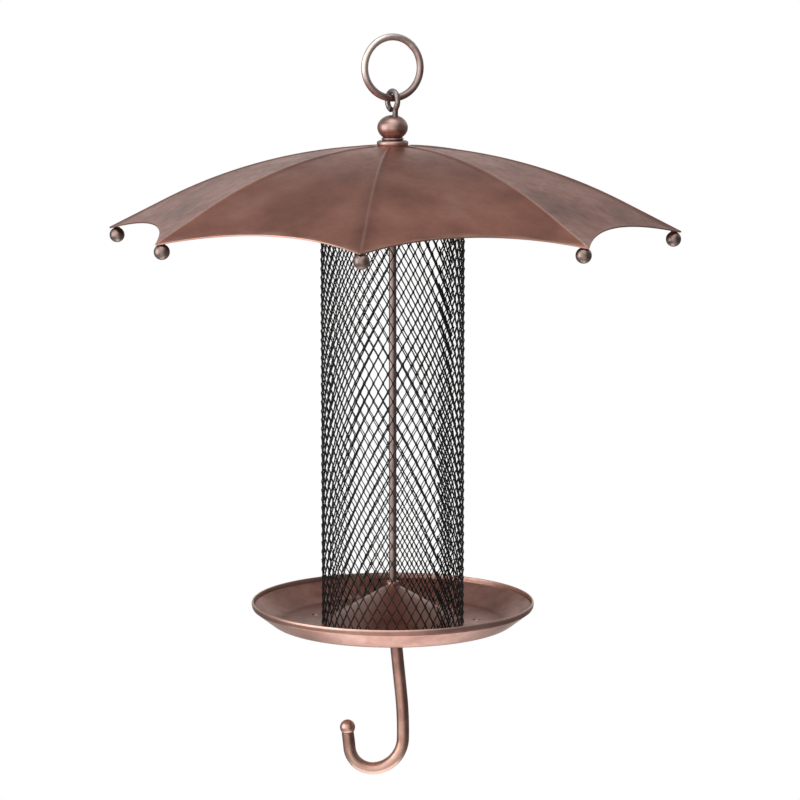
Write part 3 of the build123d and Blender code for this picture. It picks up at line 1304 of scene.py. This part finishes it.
@dataclass
class Core(Assembly):
    """The rod on the axis, and the cone and nut that it holds down inside the tube."""

    cone_sheet_mm: float = 0.5
    thread_pitch_mm: float = 0.7
    thread_mm: float = 9.0

    def rod(self) -> Piece:
        """Draw out the rod, with turned thread grooves at its top end.

        Returns:
            The rod.
        """
        radius, low, high = Span.of("centre_rod").sizes_mm
        outline: list[Point] = [(0, low), (radius - 0.4, low), (radius, low + 0.4)]
        start = high - self.thread_mm
        for groove in range(int(self.thread_mm / self.thread_pitch_mm)):
            z = start + groove * self.thread_pitch_mm
            outline += [(radius, z), (radius - 0.35, z + self.thread_pitch_mm / 2)]
        outline += [(radius, high - 0.4), (radius - 0.4, high), (0, high)]
        return lathe("rod_drawn", outline, steps=32, rubbed=0.1)

    def cone(self) -> Piece:
        """Turn the sheet cone, with a small rolled foot.

        Returns:
            The cone.
        """
        foot, low, high = Span.of("seed_cone").sizes_mm
        slope = math.atan((high - low) / (foot - 3.2))
        thick = self.cone_sheet_mm / math.sin(slope)
        outline = rounded(
            [
                (2.05, high, 0),
                (3.2, high, 0.8),
                (foot - 1.6, low + 1.6 * math.tan(slope), 1.5),
                (foot, low + 0.5, 0.4),
                (foot, low, 0.1),
                (foot - thick - 0.6, low, 0),
                (3.0, high - self.cone_sheet_mm, 0),
                (2.05, high - self.cone_sheet_mm, 0),
            ]
        )
        return lathe("cone_spun", outline, steps=96, rubbed=0.15)

    def nut(self) -> Piece:
        """Turn the low domed nut.

        Returns:
            The nut.
        """
        wide, low, high = Span.of("cone_nut").sizes_mm
        outline = rounded([(2.0, low, 0), (wide, low, 0.3), (wide, high - 0.2, 1.3), (2.0, high, 0)])
        return lathe("cone_nut_domed", outline, steps=48, rubbed=0.3)

    def pieces(self) -> list[Recipe]:
        """What the core is made of."""
        return [
            (self.rod, "centre_rod", Finish.ROD),
            (self.cone, "seed_cone", Finish.TRAY),
            (self.nut, "cone_nut", Finish.TRAY),
        ]


# ---------------------------------------------------------------- tray


@dataclass
class Tray(Assembly):
    """The dished tray with its beaded rim and drain holes, and the washer under it."""

    sheet_mm: float = 0.8
    floor_mm: float = 62.5
    bend_mm: float = 9.0
    rim_mm: float = 2.8
    rim_wall_mm: float = 1.0
    drains: int = 7
    drain_mm: float = 2.0
    drain_circle_mm: float = 44.6
    drain_turn: float = 4.2

    def dish(self) -> Piece:
        """Turn the dish, then punch its drain holes.

        Returns:
            The tray.
        """
        span = Span.of("feeding_tray")
        wide, low, high = span.sizes_mm
        floor, rim_low = low + self.sheet_mm, high - self.rim_mm
        outline = rounded(
            [
                (2.0, low, 0),
                (self.floor_mm, low, self.bend_mm),
                (wide - 0.62, rim_low - 0.4, 0.1),
                (wide - 0.70, rim_low - 0.1, 0.05),
                (wide - 0.30, rim_low + 0.1, 0.2),
                (wide, high - 1.0, 1.0),
                (wide - 0.4, high, 0.45),
                (wide - self.rim_wall_mm, high - 0.1, 0.4),
                (wide - self.rim_wall_mm - 0.4, rim_low, 1.5),
                (self.floor_mm - 0.5, floor, self.bend_mm),
                (2.0, floor, 0),
            ],
            steps=8,
        )
        piece = lathe("tray_spun", outline, steps=160)
        for drain in range(self.drains):
            angle = math.radians(self.drain_turn + drain * 360 / self.drains)
            middle = towards(angle) * self.drain_circle_mm * MM + Vector((0, 0, floor * MM))
            punch(piece, middle, self.drain_mm, depth_mm=4, sides=32)
        shade(piece, 40)
        rim_z = span.high.z
        groove_z = (rim_low - 0.1) * MM
        outside = (wide - 1.2) * MM
        mark(piece, "rubbed", lambda co: 1.0 - (rim_z - co.z) / (1.2 * MM))
        # painted shade in the groove under the rim
        mark(
            piece, "grime",
            lambda co: 0.3 - abs(co.z - groove_z) / MM if math.hypot(co.x, co.y) > outside else 0.0,
        )
        return piece

    def washer(self) -> Piece:
        """Turn the flat washer with its stamped, rounded edge.

        Returns:
            The washer.
        """
        wide, low, high = Span.of("tray_washer").sizes_mm
        outline = rounded([(2.0, low, 0.1), (wide, low, 0.15), (wide, high, 0.4), (2.0, high, 0.1)])
        return lathe("washer_stamped", outline, steps=48)

    def pieces(self) -> list[Recipe]:
        """What the tray is made of."""
        return [
            (self.dish, "feeding_tray", Finish.TRAY),
            (self.washer, "tray_washer", Finish.ZINC),
        ]


# ---------------------------------------------------------------- crook hook


@dataclass
class Crook(Assembly):
    """The bent bar under the tray, its coupling and the ball on its end."""

    bar_mm: float = 3.3
    top: Point = (1.15, -312.8)
    lean_end: Point = (4.45, -346.0)
    stops: tuple[Point, ...] = ((5.4, -370.5), (-8.4, -386.7), (-23.2, -375.4), (-24.15, -366.9))
    steps: tuple[int, ...] = (8, 26, 22, 6)
    cut_mm: float = 0.3
    worn_below: float = -0.372
    worn_over: float = 0.018

    def bar(self) -> Piece:
        """Bend the bar: a section drawn down the leaning shank, then spun round each tangent arc.

        Returns:
            The bar.
        """
        start, end = Vector(self.top), Vector(self.lean_end)
        heading = (end - start).normalized()
        lean = math.atan2(heading.x, -heading.y)
        piece = add(
            "crook_bar", bpy.ops.mesh.primitive_circle_add, vertices=32, radius=self.bar_mm * MM,
            location=(start.x * MM, 0, start.y * MM), rotation=(0, -lean, 0),
        )
        with editing(piece):
            bpy.ops.mesh.select_all(action="SELECT")
            move = (end - start) * MM / 6
            for _ in range(6):
                bpy.ops.mesh.extrude_edges_move(TRANSFORM_OT_translate={"value": (move.x, 0, move.y)})
            here = end
            for stop, steps in zip(self.stops, self.steps):
                centre, sweep = self.tangent_arc(here, heading, Vector(stop))
                bpy.ops.mesh.spin(
                    steps=steps, angle=sweep, center=(centre.x * MM, 0, centre.y * MM), axis=(0, 1, 0),
                )
                heading.rotate(Matrix.Rotation(sweep, 2))
                here = Vector(stop)
        tidy(piece, sharp_from=50)
        ease_ends(piece, self.cut_mm, segments=2)
        mark(piece, "rubbed", lambda co: (self.worn_below - co.z) / self.worn_over * 0.55)
        return piece

    @staticmethod
    def tangent_arc(start: Vector, heading: Vector, end: Vector) -> tuple[Vector, float]:
        """The arc that leaves start along heading and ends at end.

        Args:
            start: Where the arc begins, in the XZ plane.
            heading: Unit direction there.
            end: Where it ends.

        Returns:
            The arc's centre, and the angle it turns through, anticlockwise positive.
        """
        chord = end - start
        side = heading.x * chord.y - heading.y * chord.x
        radius = chord.length_squared / (2 * side)
        centre = start + Vector((-heading.y, heading.x)) * radius
        sweep = 2 * math.atan2(side, heading.dot(chord))
        return centre, sweep

    def ball(self) -> Piece:
        """Model the end ball: a sphere with a short collar drawn down round the bar.

        Returns:
            The ball.
        """
        span = Span.of("hook_ball")
        radius = span.radius
        middle = Vector((span.centre.x, span.centre.y, span.high.z - radius))
        piece = add(
            "crook_ball", bpy.ops.mesh.primitive_uv_sphere_add, segments=40, ring_count=24, radius=radius,
            location=middle,
        )
        with editing(piece):
            foot = middle.z - 0.76 * radius
            pick(piece, Kind.FACES, lambda face: face.calc_center_median().z < foot)
            bpy.ops.mesh.extrude_region_move(TRANSFORM_OT_translate={"value": (0, 0, -0.4 * MM)})
            bpy.ops.transform.resize(value=(1.08, 1.08, 0.2))
        tidy(piece, sharp_from=50)
        mark(piece, "rubbed", lambda co: 0.35)
        return piece

    def coupling(self) -> Piece:
        """Turn the coupling between the rod and the bar.

        Returns:
            The coupling.
        """
        wide, low, high = Span.of("hook_coupling").sizes_mm
        groove = (low + high) / 2
        outline = rounded(
            [
                (0, low, 0),
                (wide, low, 1.0),
                (wide, groove - 0.6, 0.2),
                (wide - 0.5, groove, 0.3),
                (wide, groove + 0.6, 0.2),
                (wide, high, 0.3),
                (0, high, 0),
            ]
        )
        return lathe("coupling_turned", outline, steps=48, rubbed=0.2)

    def pieces(self) -> list[Recipe]:
        """What the crook is made of."""
        return [
            (self.bar, "crook_hook", Finish.BAR),
            (self.ball, "hook_ball", Finish.BAR),
            (self.coupling, "hook_coupling", Finish.BAR),
        ]


# ---------------------------------------------------------------- studio


@dataclass(frozen=True)
class Screen:
    """One screen round the feeder: white ones brighten what reflects them, black ones cut dark edges."""

    way: Vector
    start: float
    end: float
    tone: float

    def hang(self, world: Wiring, direction: Socket, room: Socket) -> Socket:
        """Lay this screen over the room.

        Args:
            world: The world's nodes.
            direction: The direction looked in.
            room: The room's colour without the screen.

        Returns:
            A socket with the room's colour with the screen.
        """
        way = self.way.normalized()
        facing = add_node(
            world.tree, "ShaderNodeVectorMath", {1: way}, {0: direction}, operation="DOT_PRODUCT",
        )
        share = add_node(
            world.tree, "ShaderNodeMapRange", {"From Min": self.start, "From Max": self.end},
            {"Value": facing.outputs["Value"]}, interpolation_type="SMOOTHSTEP",
        )
        return world.lay(grey(self.tone), room, share.outputs["Result"])


@dataclass(frozen=True)
class Softbox:
    """One area light, with sizes in metres and power in watts."""

    name: str
    place: Vector
    width: float
    height: float
    power: float

    def light(self, target: Vector) -> None:
        """Put the light up.

        Args:
            target: The point that it faces.
        """
        turned = (target - self.place).to_track_quat("-Z", "Y").to_euler()
        bpy.ops.object.light_add(type="AREA", location=self.place, rotation=turned)
        light = bpy.context.object
        light.name = self.name
        light.data.shape = "RECTANGLE"
        light.data.size = self.width
        light.data.size_y = self.height
        light.data.energy = self.power


@dataclass
class Studio:
    """A pale floor well below the hanging feeder, soft studio light, and the camera."""

    floor_drop: float = 0.35
    floor_radius: float = 0.32
    camera_away: float = 1.4912
    camera_up: float = 0.0176
    look_down: float = 7.84
    look_right: float = 0.148
    lens_mm: float = 128.7
    floor_glow: float = 1.1
    room_tones: tuple[Point, ...] = (
        (-1.0, 0.42), (0.0, 0.50), (0.20, 0.78), (0.36, 0.54),
        (0.48, 0.44), (0.62, 0.30), (0.87, 0.50), (1.0, 0.55),
    )
    screens: tuple[Screen, ...] = (
        Screen(Vector((-0.80, 0.60, -0.20)), 0.78, 0.92, 0.24),
        Screen(Vector((0.80, 0.55, -0.30)), 0.80, 0.93, 0.18),
        Screen(Vector((0.92, -0.38, 0.0)), 0.62, 0.86, 0.16),
        Screen(Vector((0.0, -0.85, -0.53)), 0.80, 0.95, 0.85),
        Screen(Vector((-0.15, -0.55, 0.82)), 0.68, 0.93, 1.5),
        Screen(Vector((-0.35, -0.93, 0.06)), 0.84, 0.97, 1.5),
        Screen(Vector((0.0, 0.99, -0.136)), 0.93, 0.975, 1.12),
    )

    softboxes: tuple[Softbox, ...] = (
        Softbox("key_left", Vector((-1.84, -0.85, 0.15)), 1.7, 2.0, 24.0),
        Softbox("overhead", Vector((-0.3, -0.2, 2.2)), 1.4, 1.4, 5.0),
    )
    lit_height: float = -0.2

    @staticmethod
    def level(height: float) -> float:
        """A height from -1 to 1 as a place on a ramp."""
        return (height + 1) / 2

    def camera(self) -> None:
        """Set the camera in front of the feeder, a little above its roof, looking slightly down."""
        bpy.ops.object.camera_add(
            location=(0, -self.camera_away, self.camera_up),
            rotation=(math.radians(90 - self.look_down), 0, -math.radians(self.look_right)),
        )
        camera = bpy.context.object
        camera.data.lens = self.lens_mm
        camera.data.sensor_width = 36.0
        camera.data.clip_end = 100.0
        bpy.context.scene.camera = camera

    def floor(self) -> None:
        """Lay the pale floor: a round disc that glows, so that it looks white."""
        disc = add(
            "studio_floor", bpy.ops.mesh.primitive_circle_add, vertices=128, radius=self.floor_radius,
            fill_type="NGON", location=(0, 0, CAD_BOX[0].z - self.floor_drop),
        )
        paint = bpy.data.materials.new("matt_white_floor")
        paint.use_nodes = True
        shader = paint.node_tree.nodes["Principled BSDF"]
        shader.inputs["Base Color"].default_value = linear("F6F6F6")
        shader.inputs["Roughness"].default_value = 0.9
        shader.inputs["Emission Color"].default_value = grey(1.0)
        shader.inputs["Emission Strength"].default_value = self.floor_glow
        disc.data.materials.append(paint)

    def sky(self) -> None:
        """Light the room: greys that change with height, and the screens hung round them."""
        world = bpy.data.worlds.new("studio_room")
        bpy.context.scene.world = world
        world.use_nodes = True
        wiring = Wiring(world.node_tree)
        tree = wiring.tree
        tree.nodes.clear()
        direction = add_node(tree, "ShaderNodeTexCoord").outputs["Generated"]
        axes = add_node(tree, "ShaderNodeSeparateXYZ", links={0: direction}).outputs
        share = add_node(tree, "ShaderNodeMapRange", {"From Min": -1.0}, {"Value": axes["Z"]})
        stops = [(self.level(height), grey(tone)) for height, tone in self.room_tones]
        colour = wiring.ramp(share.outputs["Result"], *stops)
        for screen in self.screens:
            colour = screen.hang(wiring, direction, colour)
        room = add_node(tree, "ShaderNodeBackground", {"Strength": 1.0}, {"Color": colour})
        backdrop = add_node(tree, "ShaderNodeBackground", {"Color": grey(1.0), "Strength": 1.0})
        seen = add_node(tree, "ShaderNodeLightPath").outputs["Is Camera Ray"]
        both = add_node(
            tree, "ShaderNodeMixShader",
            links={0: seen, 1: room.outputs["Background"], 2: backdrop.outputs["Background"]},
        )
        add_node(tree, "ShaderNodeOutputWorld", links={"Surface": both.outputs["Shader"]})

    def build(self) -> None:
        """Set up the floor, the lights, the sky and the camera."""
        bpy.context.scene.view_settings.view_transform = "Standard"
        self.camera()
        self.floor()
        self.sky()
        for softbox in self.softboxes:
            softbox.light(Vector((0, 0, self.lit_height)))


def main() -> None:
    """Build the feeder and the studio round it."""
    logging.basicConfig(level=logging.INFO, format="%(name)s: %(message)s")
    dresser = Dresser()
    for assembly in (Hanger(), Finial(), Roof(), MeshTube(), Core(), Tray(), Crook()):
        assembly.build(dresser)
    Studio().build()


if __name__ == "__main__":
    main()
